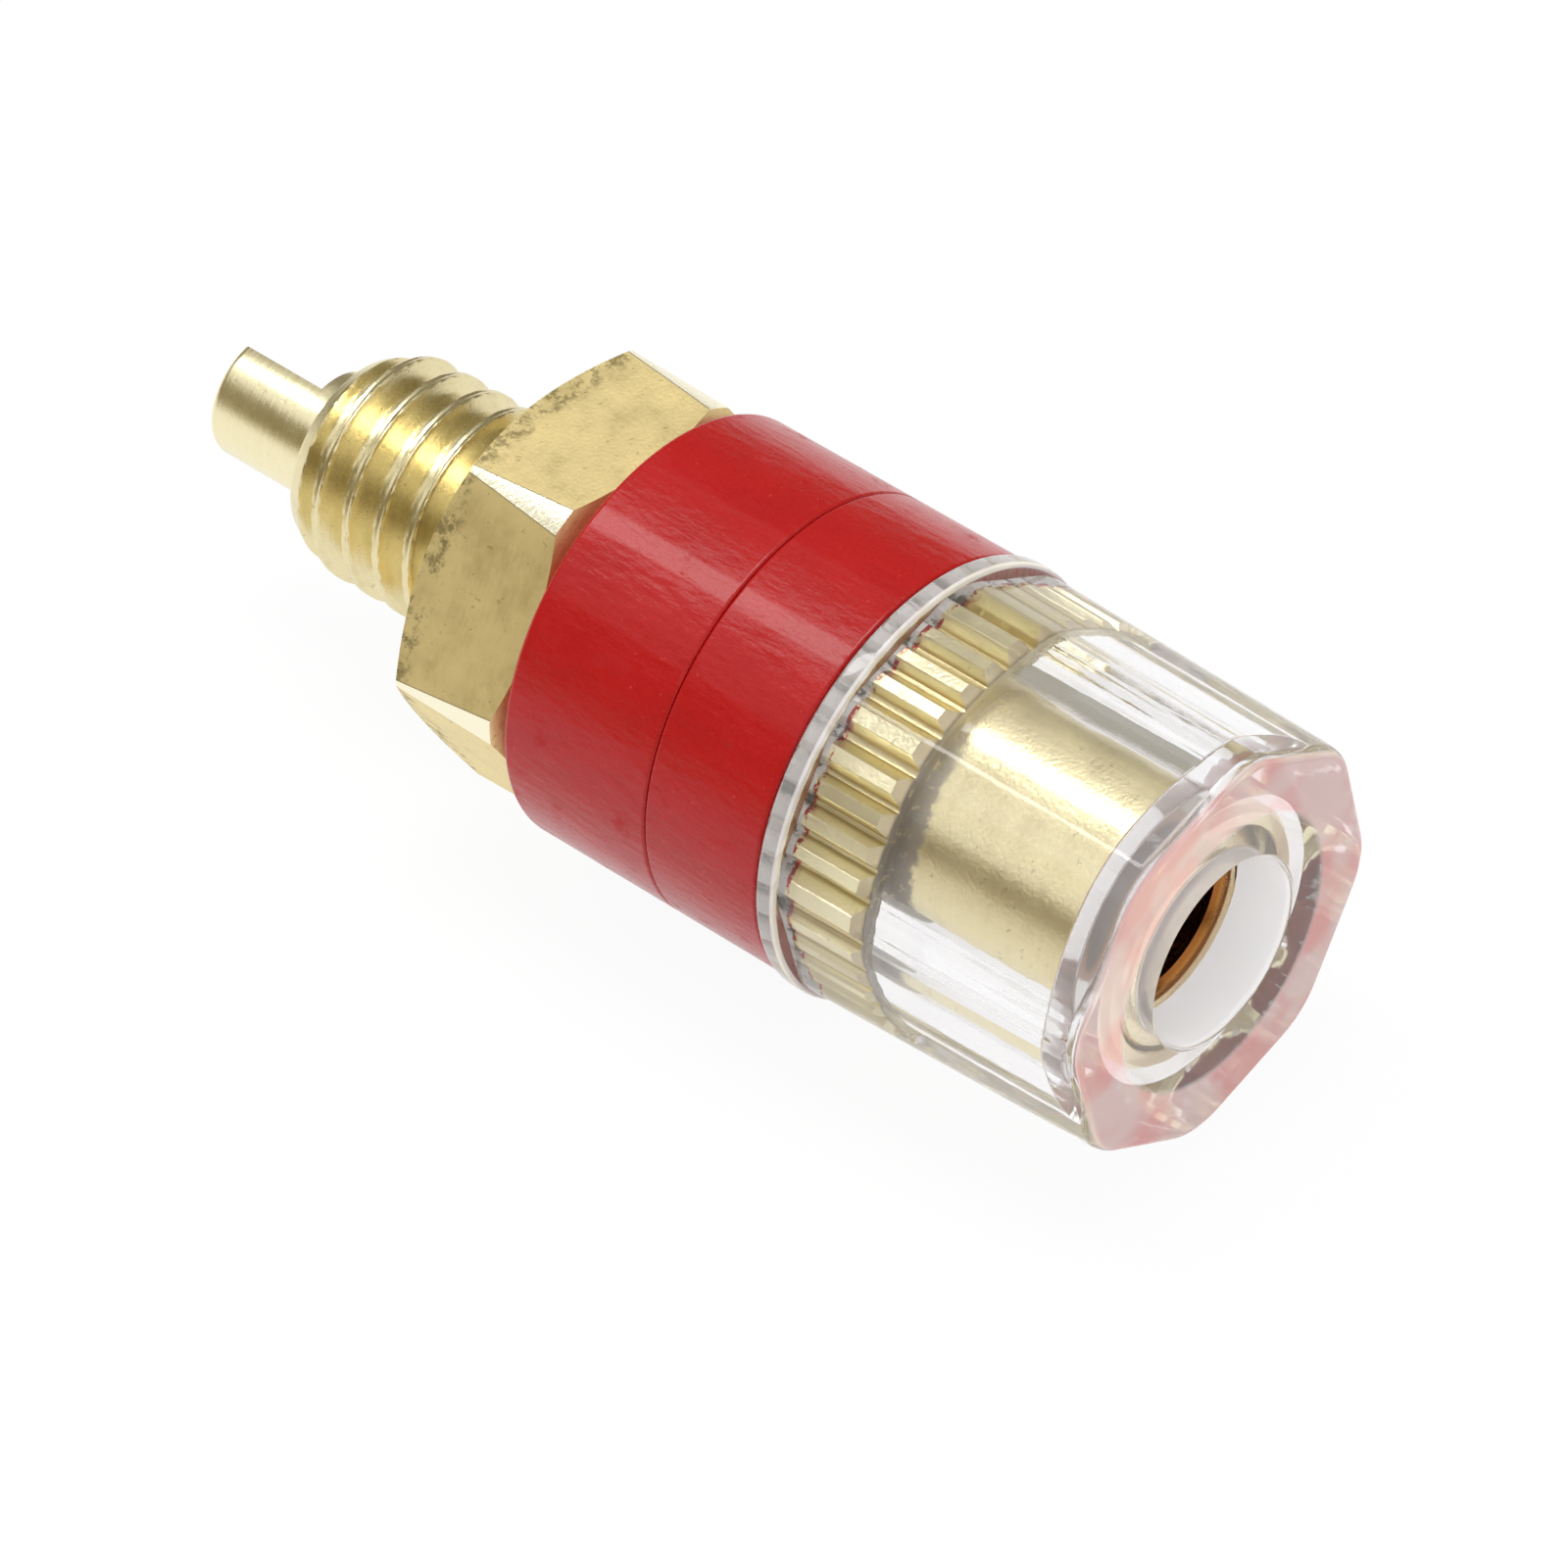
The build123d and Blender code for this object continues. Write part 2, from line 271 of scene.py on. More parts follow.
post.data.shade_smooth()
post.data.set_sharp_from_angle(angle=math.radians(CREASE))
even_shading(post)


class Value:
    """A number that varies over a surface. Arithmetic on it adds the Math node that does it."""

    def __init__(self, nodes, socket):
        self.nodes = nodes
        self.socket = socket

    def math(self, operation, *operands):
        return self.nodes.node("ShaderNodeMath", {"operation": operation}, dict(enumerate(operands)))

    def __add__(self, other):
        return self.math("ADD", self, other)

    def __sub__(self, other):
        return self.math("SUBTRACT", self, other)

    def __mul__(self, other):
        return self.math("MULTIPLY", self, other)

    def __pow__(self, other):
        return self.math("POWER", self, other)

    def __rsub__(self, other):
        return self.math("SUBTRACT", other, self)

    __radd__ = __add__

    def clip(self):
        return self.nodes.node("ShaderNodeClamp", {}, {"Value": self})


class Nodes:
    """The nodes of a material or of the world."""

    def __init__(self, tree):
        self.tree = tree

    def node(self, kind, settings, inputs, output=0):
        """Adds a node: its settings first, then each socket's value or link."""
        made = self.tree.nodes.new(kind)
        for name, value in settings.items():
            if name == "stops":
                ramp = made.color_ramp
                while len(ramp.elements) < len(value):
                    ramp.elements.new(1.0)
                for element, (position, colour) in zip(ramp.elements, value):
                    element.position = position
                    element.color = (*colour, 1.0)
            else:
                setattr(made, name, value)
        for name, value in inputs.items():
            if isinstance(value, Value):
                value = value.socket
            if isinstance(value, bpy.types.NodeSocket):
                self.tree.links.new(value, made.inputs[name])
            else:
                made.inputs[name].default_value = value
        return Value(self, made.outputs[output])

    def ray(self, kind):
        """1 for rays of a kind, else 0."""
        return self.node("ShaderNodeLightPath", {}, {}, kind)


class Finish(Nodes):
    """A material with its own nodes. Lengths in it are millimetres on the piece."""

    def __init__(self, name, **constants):
        self.material = bpy.data.materials.new(name)
        self.material.use_nodes = True
        super().__init__(self.material.node_tree)
        self.shader = self.tree.nodes["Principled BSDF"]
        for socket, value in constants.items():
            self.shader.inputs[socket.replace("_", " ")].default_value = value
        metres = self.node("ShaderNodeTexCoord", {}, {}, "Object")
        self.place = self.node(
            "ShaderNodeVectorMath", {"operation": "SCALE"}, {0: metres, "Scale": 1 / MM}, "Vector"
        )

    def coordinates(self):
        """X, Y and Z on the piece, and the distance from its axis."""
        x, y, z = (self.node("ShaderNodeSeparateXYZ", {}, {0: self.place}, axis) for axis in range(3))
        return x, y, z, (x * x + z * z) ** 0.5

    def spot(self, x, y, z):
        """A place from three numbers."""
        return self.node("ShaderNodeCombineXYZ", {}, {0: x, 1: y, 2: z})

    def noise(self, place, scale, detail=3.0, roughness=0.55):
        """Cloudy noise from 0 to 1, with that many features a millimetre."""
        sockets = {"Vector": place, "Scale": scale, "Detail": detail, "Roughness": roughness}
        return self.node("ShaderNodeTexNoise", {}, sockets, "Fac")

    def ramp(self, value, *stops):
        """A colour that runs through stops of (position, colour)."""
        return self.node("ShaderNodeValToRGB", {"stops": stops}, {"Fac": value}, "Color")

    def blend(self, amount, first, second):
        """The first colour, turned into the second by an amount from 0 to 1."""
        first, second = (c if isinstance(c, Value) else (*c, 1) for c in (first, second))
        return self.node("ShaderNodeMix", {"data_type": "RGBA"}, {0: amount, 6: first, 7: second}, 2)

    def relief(self, height, depth):
        """Small relief from heights of 0 to 1, that deep in millimetres."""
        sockets = {"Strength": 1.0, "Distance": depth * MM, "Height": height}
        return self.node("ShaderNodeBump", {}, sockets, "Normal")

    def set(self, **links):
        """Links values to the shader's sockets."""
        for name, value in links.items():
            self.tree.links.new(value.socket, self.shader.inputs[name.replace("_", " ")])

    def cover(self, amount, other):
        """Lays another shader over this one by an amount from 0 to 1."""
        both = self.node("ShaderNodeMixShader", {}, {0: amount, 1: self.shader.outputs[0], 2: other})
        self.tree.links.new(both.socket, self.tree.nodes["Material Output"].inputs["Surface"])

    def onto(self, piece):
        piece.data.materials.clear()
        piece.data.materials.append(self.material)


def smooth_between(value, low, high):
    """Rises from 0 to 1 as a value goes from low to high."""
    return value.nodes.node(
        "ShaderNodeMapRange",
        {"interpolation_type": "SMOOTHSTEP"},
        {"Value": value, "From Min": low, "From Max": high},
        "Result",
    )


def turned_brass(name, pale, deep, shine, lathe, pits, crinkle=0.25):
    """Gold-flashed brass: rings from the lathe, soft mottling, small pits, and a rough film in places."""
    finish = Finish(name, Metallic=1.0, IOR=1.5)
    x, y, z, reach = finish.coordinates()
    rings = finish.noise(finish.spot(reach * 9.0, y * 9.0, x * 0.25), 1.0, detail=4.0, roughness=0.6)
    film = finish.noise(finish.place, 0.9, detail=5.0, roughness=0.6)
    grain = finish.noise(finish.place, 9.0, detail=3.0, roughness=0.6)
    pit = smooth_between(finish.noise(finish.place, 4.5, detail=2.0), 0.72, 0.66)
    palest = tuple(min(1, 1.06 * c) for c in pale)
    colour = finish.ramp((film * 0.7 + rings * 0.3).clip(), (0.3, deep), (0.5, pale), (0.72, palest))
    colour = finish.blend((1 - pit) * pits, colour, tuple(0.45 * c for c in deep))
    finish.colour = colour
    finish.rough = (film * 0.22 + grain * 0.12 + shine).clip()
    finish.set(
        Base_Color=colour,
        Roughness=finish.rough,
        Normal=finish.relief(rings * lathe + grain * crinkle + pit * pits * 0.6, 0.012),
    )
    return finish


FRESH_BRASS = (0.96, 0.84, 0.56)
post_finish = turned_brass("post_brass", (0.84, 0.74, 0.45), (0.70, 0.60, 0.33), 0.09, 0.5, 0.3)
x, y, z, reach = post_finish.coordinates()
# The tail is paler and the front face is fresh; round the socket's mouth and inside the socket the brass is
# painted dark orange-brown and darker red-brown, as painted shade at the bottom of the plug hole
ahead = smooth_between(y, 5.0, 4.0)
face = smooth_between(y, -10.9, -11.1)
colour = post_finish.blend(smooth_between(y, 14.2, 14.5) * 0.6, post_finish.colour, (1.0, 0.92, 0.62))
colour = post_finish.blend(face, colour, FRESH_BRASS)
# Painted shade: dark orange-brown round the socket's mouth, darker red-brown inside the socket
colour = post_finish.blend(ahead * smooth_between(reach, 2.46, 2.38), colour, (0.40, 0.17, 0.04))
colour = post_finish.blend(ahead * smooth_between(reach, 2.14, 2.06), colour, (0.33, 0.12, 0.03))
post_finish.set(Base_Color=colour)
post_finish.onto(post)
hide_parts("post")
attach(post, "post")

# Front insulator
# A ring moulded in glossy red plastic. A recess with two flats in its front holds the post's collar, and a
# shoulder behind it fills the panel's hole.
BODY_RADIUS = 5.7
RING_COLUMNS = 160
BORE = 3.045
ring_angle = 2 * np.pi * np.arange(RING_COLUMNS) / RING_COLUMNS
RECESS = 4.05
RECESS_FLAT = 3.55
SHOULDER = 4.0
SHOULDER_BACK = 0.9
front_path = rounded_path(
    [
        (RECESS, COLLAR_FRONT, 0),
        (BODY_RADIUS, COLLAR_FRONT, 0.12),
        (BODY_RADIUS, 0, 0.10),
        (SHOULDER, 0, 0),
        (SHOULDER, SHOULDER_BACK, 0.1),
        (BORE, SHOULDER_BACK, 0.1),
        (BORE, COLLAR_BACK, 0),
        (RECESS, COLLAR_BACK, 0),
    ],
    True,
)
recess = two_flats(RECESS, RECESS_FLAT, ring_angle)
front_radius = np.where(front_path[:, :1] == RECESS, recess[None], front_path[:, :1])
front_insulator = skin("front_ring", around_axis(front_radius, front_path[:, 1:], ring_angle), True)
even_shading(front_insulator)


def red_plastic():
    """Moulded red plastic: a clear gloss over a soft sheen, faint waves from the mould, specks and scuffs."""
    finish = Finish("red_plastic", IOR=1.5, Specular_IOR_Level=0.27, Coat_IOR=1.5, Coat_Roughness=0.08)
    x, y, z, reach = finish.coordinates()
    waves = finish.noise(finish.spot(x, y * 0.45, z), 0.9, detail=3.0)
    drag = finish.noise(finish.spot(x * 1.3, y * 0.35, z * 1.3), 3.2, detail=4.0, roughness=0.6)
    grain = finish.noise(finish.place, 7.0, detail=4.0, roughness=0.65)
    speck = smooth_between(finish.noise(finish.place, 5.5, detail=1.0), 0.74, 0.79)
    scuff = finish.noise(finish.spot(x, y * 0.7, z), 1.1, detail=6.0, roughness=0.75)
    scuff = smooth_between(scuff, 0.55, 0.68)
    tone = (waves * 0.6 + grain * 0.4).clip()
    colour = finish.ramp(tone, (0.3, (0.360, 0.001, 0.001)), (0.7, (0.430, 0.003, 0.003)))
    colour = finish.blend(speck * 0.25, colour, (0.75, 0.10, 0.09))
    finish.set(
        Base_Color=colour,
        Roughness=grain * 0.12 + scuff * 0.16 + 0.22,
        Coat_Weight=(0.24 - scuff * 0.24).clip(),
        Normal=finish.relief(waves * 2.4 + drag * 1.6 + grain * 0.2 + speck * 0.1 + scuff * 0.2, 0.02),
    )
    return finish


red = red_plastic()
red.onto(front_insulator)
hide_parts("front_insulator")
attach(front_insulator, "post")

# Rear insulator
# The same red plastic behind the panel. It is counterbored for the front one's shoulder, and its rear edge is
# just broken.
REAR_BACK = 4.5
COUNTERBORE = 4.15
COUNTERBORE_FLOOR = 1.1
rear_path = rounded_path(
    [
        (COUNTERBORE, 0, 0.06),
        (BODY_RADIUS, 0, 0.10),
        (BODY_RADIUS, REAR_BACK, 0.15),
        (BORE, REAR_BACK, 0.1),
        (BORE, COUNTERBORE_FLOOR, 0),
        (COUNTERBORE, COUNTERBORE_FLOOR, 0),
    ],
    True,
)
rear_insulator = skin("rear_ring", around_axis(rear_path[:, :1], rear_path[:, 1:], ring_angle), True)
even_shading(rear_insulator)
red.onto(rear_insulator)
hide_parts("rear_insulator")
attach(rear_insulator, "rear_insulator")

# Hex nut
# A 6 mm nut milled from brass bar, 10 mm across flats, chamfered on both faces, with its corners turned down
# more at the front. It clamps the panel between the two insulators.
NUT_FRONT = REAR_BACK
NUT_BACK = 8.55
NUT_FLAT = 5.0
NUT_FACE = 4.65
NUT_CORNER = NUT_FLAT / math.cos(math.pi / 6)
FRONT_CORNER_CUT = 0.2
REAR_CORNER_CUT = 0.05
THREAD_BORE = 3.02
BORE_THREAD_DEPTH = 0.28
NUT_MOUTH = 3.32
NUT_MOUTH_DEPTH = 0.3


def hexagon(turned_radius):
    """Angles and radii round a hexagon whose corners are turned down to a radius.

    Each flat runs to where its distance over the cosine of the angle from its middle equals that radius, and
    a corner's strip keeps to the radius over the rest.
    """
    reach = math.acos(NUT_FLAT / turned_radius)
    along = np.arctan(np.linspace(-1, 1, 15) * math.tan(reach))
    over = np.linspace(reach, math.pi / 3 - reach, 7)[1:-1]
    middle = math.radians(30) + math.pi / 3 * np.arange(6)[:, None]
    angle = (middle + np.concatenate([along, over])).reshape(-1)
    radius = np.tile(np.concatenate([NUT_FLAT / np.cos(along), np.full(5, turned_radius)]), 6)
    return angle, radius


def bored_thread(angle, stations, phase):
    """Radius of a thread inside a bore: a stud's thread mirrored about the bore's radius."""
    return 2 * THREAD_BORE - thread(angle, stations[:, None], THREAD_BORE, BORE_THREAD_DEPTH, phase)


side_share = np.linspace(0, 1, 12)
side_cut = FRONT_CORNER_CUT + (REAR_CORNER_CUT - FRONT_CORNER_CUT) * side_share
sides = [hexagon(NUT_CORNER - cut) for cut in side_cut]
side_angle = np.array([side[0] for side in sides])
side_reach = np.array([side[1] for side in sides])
chamfer_rise = (side_reach[[0, -1]] - NUT_FACE) * math.tan(math.radians(30))
side_front, side_back = NUT_FRONT + chamfer_rise[0], NUT_BACK - chamfer_rise[1]
side_station = side_front + side_share[:, None] * (side_back - side_front)
bore_angle = side_angle[-1]
bore_stations = np.linspace(NUT_FRONT + NUT_MOUTH_DEPTH, NUT_BACK - NUT_MOUTH_DEPTH, 70)
nut_thread = bored_thread(bore_angle, bore_stations, STUD_PHASE + PITCH / 2)
nut_rows = [
    around_axis(NUT_MOUTH, NUT_FRONT, side_angle[0])[None],
    around_axis(NUT_FACE, NUT_FRONT, side_angle[0])[None],
    around_axis(side_reach, side_station, side_angle),
    around_axis(NUT_FACE, NUT_BACK, bore_angle)[None],
    around_axis(NUT_MOUTH, NUT_BACK, bore_angle)[None],
    around_axis(nut_thread, bore_stations[:, None], bore_angle)[::-1],
]
nut = skin("nut_body", np.concatenate(nut_rows), True, crease=20.0)
even_shading(nut)
nut_finish = turned_brass("nut_brass", (0.95, 0.79, 0.41), (0.81, 0.65, 0.30), 0.34, 0.12, 0.4, 0.6)
x, y, z, reach = nut_finish.coordinates()
# The lathe burnished the corners it turned down, and handling soiled the rear edge
strip_front, strip_back = float(side_front.max()), float(side_back.min())
strip_slope = (FRONT_CORNER_CUT - REAR_CORNER_CUT) / (strip_back - strip_front)
turned_reach = NUT_CORNER - FRONT_CORNER_CUT + (y - strip_front) * strip_slope
burnished = smooth_between(reach - turned_reach, -0.02, -0.008)
burnished = burnished * smooth_between(y, strip_front - 0.05, strip_front)
smudge = nut_finish.noise(nut_finish.place, 1.7, detail=6.0, roughness=0.8)
soiled = smooth_between(y + smudge * 1.6, 8.3, 8.9) * smooth_between(smudge, 0.46, 0.58)
soiled = soiled * smooth_between(reach, 4.8, 5.0) * (1 - burnished)
colour = nut_finish.blend(burnished, nut_finish.colour, (1.0, 0.93, 0.70))
nut_finish.set(
    Base_Color=nut_finish.blend(soiled * 0.75, colour, (0.26, 0.20, 0.08)),
    Roughness=nut_finish.rough * (1 - burnished * 0.6),
)
nut_finish.onto(nut)
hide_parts("hex_nut")
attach(nut, "hex_nut")

# Cap insert
# A turned brass sleeve, threaded through, with a straight knurl round its base that bites into the clear cap.
# It is what the cap screws on with.
CAP_BASE = -3.55
KNURL_FRONT = -6.15
INSERT_FRONT = -11.35
SLEEVE = 3.5
SLEEVE_CHAMFER = 0.15
KNURL = 4.45
KNURL_COUNT = 32
KNURL_PITCH_RADIUS = 4.4
KNURL_BEVEL = 4.15
INSERT_MOUTH = 3.05
INSERT_LIP = 0.05
REAR_MOUTH = 3.27
BORE_END = 0.25
tooth_pitch = 2 * math.pi * KNURL_PITCH_RADIUS / KNURL_COUNT
# Places round one tooth, in millimetres from its middle, and their radii: a land with broken edges, a groove
tooth_place = np.array([-0.15, 0.0, 0.15, 0.20, 0.372, 0.432, 0.492, tooth_pitch - 0.20])
tooth_reach = np.array([KNURL, KNURL, KNURL, KNURL - 0.04, 4.09, 4.08, 4.09, KNURL - 0.04])
tooth_middle = 2 * np.pi * np.arange(KNURL_COUNT)[:, None] / KNURL_COUNT
knurl_angle = (tooth_middle + tooth_place / KNURL_PITCH_RADIUS).reshape(-1)
knurl_reach = np.tile(tooth_reach, KNURL_COUNT)
chamfer_reach = np.minimum(knurl_reach, KNURL_BEVEL)
chamfer_station = KNURL_FRONT + np.maximum(knurl_reach - KNURL_BEVEL, 0)
insert_bore = np.linspace(INSERT_FRONT + BORE_END, CAP_BASE - BORE_END, 110)
insert_bore[0] = INSERT_FRONT + INSERT_LIP
insert_thread = bored_thread(knurl_angle, insert_bore, PITCH / 2)
insert_thread[0] = THREAD_BORE
insert_rows = [
    around_axis(REAR_MOUTH, CAP_BASE, knurl_angle)[None],
    around_axis(knurl_reach, CAP_BASE, knurl_angle)[None],
    around_axis(knurl_reach, chamfer_station, knurl_angle)[None],
    around_axis(chamfer_reach, KNURL_FRONT, knurl_angle)[None],
    around_axis(SLEEVE, KNURL_FRONT, knurl_angle)[None],
    around_axis(SLEEVE, INSERT_FRONT + SLEEVE_CHAMFER, knurl_angle)[None],
    around_axis(SLEEVE - SLEEVE_CHAMFER, INSERT_FRONT, knurl_angle)[None],
    around_axis(INSERT_MOUTH, INSERT_FRONT, knurl_angle)[None],
    around_axis(insert_thread, insert_bore[:, None], knurl_angle),
]
insert = skin("insert_body", np.concatenate(insert_rows), True)
even_shading(insert)
insert_finish = turned_brass("insert_brass", (0.95, 0.85, 0.51), (0.82, 0.71, 0.40), 0.17, 0.3, 0.4, 1.0)
x, y, z, reach = insert_finish.coordinates()
crust = insert_finish.noise(insert_finish.place, 3.5, detail=4.0, roughness=0.7)
# Pale worn crests on the knurl, and painted shade that darkens the grooves between them
colour = insert_finish.blend(smooth_between(reach, 3.9, 4.05) * 0.4, insert_finish.colour, (1.0, 0.97, 0.74))
painted_groove_shade = smooth_between(reach, 4.05, 4.10) * smooth_between(reach, 4.25, 4.12)
colour = insert_finish.blend(painted_groove_shade, colour, (0.66, 0.55, 0.27))
# A grey, less metallic band in the corner before the knurl, wider and stronger towards -X
minus_x_side = smooth_between(z * 0.1 - x, 1.0, 3.4)
grey_corner_band = smooth_between(y + crust * 0.7 + minus_x_side * 0.35, -6.15, -5.9) * smooth_between(y, -6.1, -6.14)
grey_corner_band = grey_corner_band * smooth_between(crust, 0.25, 0.45) * (minus_x_side * 0.65 + 0.35)
colour = insert_finish.blend(grey_corner_band, colour, (0.38, 0.33, 0.26))
colour = insert_finish.blend(smooth_between(y, -11.1, -11.25), colour, FRESH_BRASS)
# Red stains, and a matt near-white colour over the rear ends of the teeth, with dark grey patches at the
# smaller radii
outside = smooth_between(reach, 4.02, 4.06)
stain = smooth_between(y + crust * 0.14, -3.97, -3.91) * outside
colour = insert_finish.blend(stain * smooth_between(crust, 0.45, 0.55), colour, (0.45, 0.03, 0.03))
pale_rear_ends = smooth_between(y, -3.91, -3.87) * outside
dark_rear_patches = smooth_between(reach, 4.35, 4.15) * smooth_between(crust, 0.46, 0.54)
rear_end_colour = insert_finish.blend(dark_rear_patches, (0.97, 0.95, 0.93), (0.22, 0.21, 0.17))
insert_finish.set(
    Base_Color=insert_finish.blend(pale_rear_ends, colour, rear_end_colour),
    Metallic=((1 - pale_rear_ends) * (1 - grey_corner_band * 0.7)).clip(),
)
insert_finish.onto(insert)
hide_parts("cap_insert")
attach(insert, "cap_insert")

# Clear cap
# Moulded in clear plastic round the insert's knurl, with eight drafted flats, a round flange at its base, and
# a hole for the plug. Behind its front wall is an air gap round the sleeve.
CAP_FRONT = -13.0
CAVITY_FLOOR = -11.4
CAVITY = 3.8
PLUG_HOLE = 2.47
FLANGE = 5.82
FLANGE_FRONT = CAP_BASE - 0.6
FACET_BASE = 5.434
FACET_FRONT = 5.2
FRONT_ROUNDING = 0.3
ROUNDING_DRAFT = 0.008
CORNER_ROUNDING = 2.2
CAP_TURN = math.radians(14.65)
SEAT_OVERLAP = 0.02


def octagon(reach, station, inset=0.0):
    """The cap's outline at a reach and a station, drawn in by an inset along its own normals.

    On a flat the radius is the reach over the cosine of the angle from the flat's middle. On a corner it is
    the far crossing with the corner's circle, whose centre is in the corner's direction.
    """
    from_flat = (knurl_angle - CAP_TURN + np.pi / 8) % (np.pi / 4) - np.pi / 8
    from_corner = np.pi / 8 - np.abs(from_flat)
    centre = (reach - CORNER_ROUNDING) / math.cos(np.pi / 8)
    rounding, reach = CORNER_ROUNDING - inset, reach - inset
    flat_end = math.atan((reach - rounding) * math.tan(np.pi / 8) / reach)
    corner = centre * np.cos(from_corner) + np.sqrt(rounding**2 - (centre * np.sin(from_corner)) ** 2)
    radius = np.where(np.abs(from_flat) < flat_end, reach / np.cos(from_flat), corner)
    return around_axis(radius, station, knurl_angle)[None]


front_turns = np.linspace(0, np.pi / 2, 8)[1:]
flange_path = rounded_path(
    [
        (KNURL, CAP_BASE, 0),
        (FLANGE, CAP_BASE, 0.15),
        (FLANGE, FLANGE_FRONT, 0.15),
        (FACET_BASE, FLANGE_FRONT, 0),
    ],
    False,
)[1:-1]
inner_path = rounded_path(
    [
        (FACET_FRONT, CAP_FRONT, 0),
        (PLUG_HOLE, CAP_FRONT, 0.14),
        (PLUG_HOLE, CAVITY_FLOOR, 0.05),
        (CAVITY, CAVITY_FLOOR, 0.05),
        (CAVITY, KNURL_FRONT + SEAT_OVERLAP, 0),
    ],
    False,
)[1:]
cap_rows = [
    around_axis(flange_path[:, :1], flange_path[:, 1:], knurl_angle),
    octagon(FACET_BASE, FLANGE_FRONT),
    octagon(FACET_FRONT + ROUNDING_DRAFT, CAP_FRONT + FRONT_ROUNDING),
    *(
        octagon(
            FACET_FRONT,
            CAP_FRONT + FRONT_ROUNDING * (1 - math.sin(turn)),
            FRONT_ROUNDING * (1 - math.cos(turn)),
        )
        for turn in front_turns
    ),
    around_axis(inner_path[:, :1], inner_path[:, 1:], knurl_angle),
    # The plastic reaches just into the knurl's surface, as it does when it is moulded round it
    around_axis(chamfer_reach - SEAT_OVERLAP, KNURL_FRONT + SEAT_OVERLAP, knurl_angle)[None],
    around_axis(knurl_reach - SEAT_OVERLAP, chamfer_station, knurl_angle)[None],
    around_axis(knurl_reach - SEAT_OVERLAP, CAP_BASE, knurl_angle)[None],
]
cap = skin("cap_body", np.concatenate(cap_rows), True)
even_shading(cap)


def clear_plastic():
    """Clear moulded plastic, very slightly cool, with a faint ripple and fine wear on its gloss."""
    finish = Finish("clear_plastic", Transmission_Weight=1.0, IOR=1.49)
    ripple = finish.noise(finish.place, 0.5, detail=2.0)
    wear = finish.noise(finish.place, 3.0, detail=5.0, roughness=0.7)
    finish.set(
        Base_Color=finish.ramp(wear, (0.3, (0.980, 0.975, 0.985)), (0.7, (0.995, 0.990, 1.0))),
        Roughness=smooth_between(wear, 0.5, 0.9) * 0.08 + 0.01,
        Normal=finish.relief(ripple * 0.8 + wear * 0.05, 0.02),
    )
    # A white diffuse layer paints highlights on the front rim, the plug hole and the flange's edge, and
    # faintly all over; away from the rim it is pink, a painted reflection of the red insulators
    x, y, z, reach = finish.coordinates()
    rim = smooth_between(y, -12.85, -12.95) * smooth_between(reach, 3.55, 3.8)
    hole = smooth_between(reach, 2.62, 2.5)
    edge = smooth_between(y, -4.0, -4.06) * smooth_between(y, -4.2, -4.14)
    edge = edge * smooth_between(reach, 5.68, 5.72)
    flange = smooth_between(reach, 5.76, 5.8)
    cloud = finish.noise(finish.place, 0.45, detail=2.0)
    pink_painted_reflection = finish.blend(smooth_between(cloud, 0.4, 0.6), (1.0, 0.52, 0.50), (1.0, 0.78, 0.75))
    colour = finish.blend(rim, (1.0, 0.97, 0.96), pink_painted_reflection)
    painted_highlight_layer = finish.node("ShaderNodeBsdfDiffuse", {}, {"Color": colour})
    amount = rim * 0.54 + hole * 0.45 + edge * 0.4 + flange * 0.15 + 0.02
    finish.cover(amount.clip(), painted_highlight_layer)
    return finish


clear_plastic().onto(cap)
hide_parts("clear_cap")
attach(cap, "clear_cap")

# Floor and light
# A white table in a white room, a soft light overhead, a strip light to one side, and darker screens that
# stand for the rest of the room in the gloss and through the cap.
FLOOR = -5.9
FLOOR_HALF = 3.0


def shows(nodes):
    """1 for rays from the camera, from a reflection or through the clear plastic, else 0."""
    total = nodes.ray("Is Camera Ray")
    for kind in ("Is Glossy Ray", "Is Transmission Ray"):
        total = total.math("MAXIMUM", total, nodes.ray(kind))
    return total


floor_mesh = bpy.data.meshes.new("floor")
floor_corners = [
    (x * FLOOR_HALF, y * FLOOR_HALF, FLOOR * MM) for x, y in ((-1, -1), (1, -1), (1, 1), (-1, 1))
]
floor_mesh.from_pydata(floor_corners, [], [(0, 1, 2, 3)])
floor = bpy.data.objects.new("floor", floor_mesh)
bpy.context.scene.collection.objects.link(floor)
floor_finish = Finish("floor", Roughness=0.9, Base_Color=(0.92, 0.92, 0.92, 1))
x, y, z, reach = floor_finish.coordinates()
# White as seen, and dimmer in reflections from beyond the left side
beyond = smooth_between(x, -20.0, -60.0) * (1 - floor_finish.ray("Is Camera Ray"))
colour = floor_finish.blend(beyond, (1, 1, 1), (0.55, 0.50, 0.38))
white = floor_finish.node("ShaderNodeEmission", {}, {"Color": colour, "Strength": 1.0})
floor_finish.cover(shows(floor_finish) * 0.94, white)
floor_finish.onto(floor)

world = bpy.data.worlds.new("room")
bpy.context.scene.world = world
world.use_nodes = True
sky = Nodes(world.node_tree)
background = world.node_tree.nodes["Background"]
background.inputs["Color"].default_value = (1, 1, 1, 1)
strength = sky.node("ShaderNodeMapRange", {}, {"Value": shows(sky), "To Min": 0.75, "To Max": 1.0})
sky.tree.links.new(strength.socket, background.inputs["Strength"])


def lamp(name, place, aim, size, watts):
    """A rectangular lamp at a place, turned to an aim, both in metres."""
    light = bpy.data.lights.new(name, "AREA")
    light.shape = "RECTANGLE"
    light.size, light.size_y = size
    light.energy = watts
    holder = bpy.data.objects.new(name, light)
    bpy.context.scene.collection.objects.link(holder)
    holder.location = place
    holder.rotation_euler = (Vector(aim) - Vector(place)).to_track_quat("-Z", "Y").to_euler()


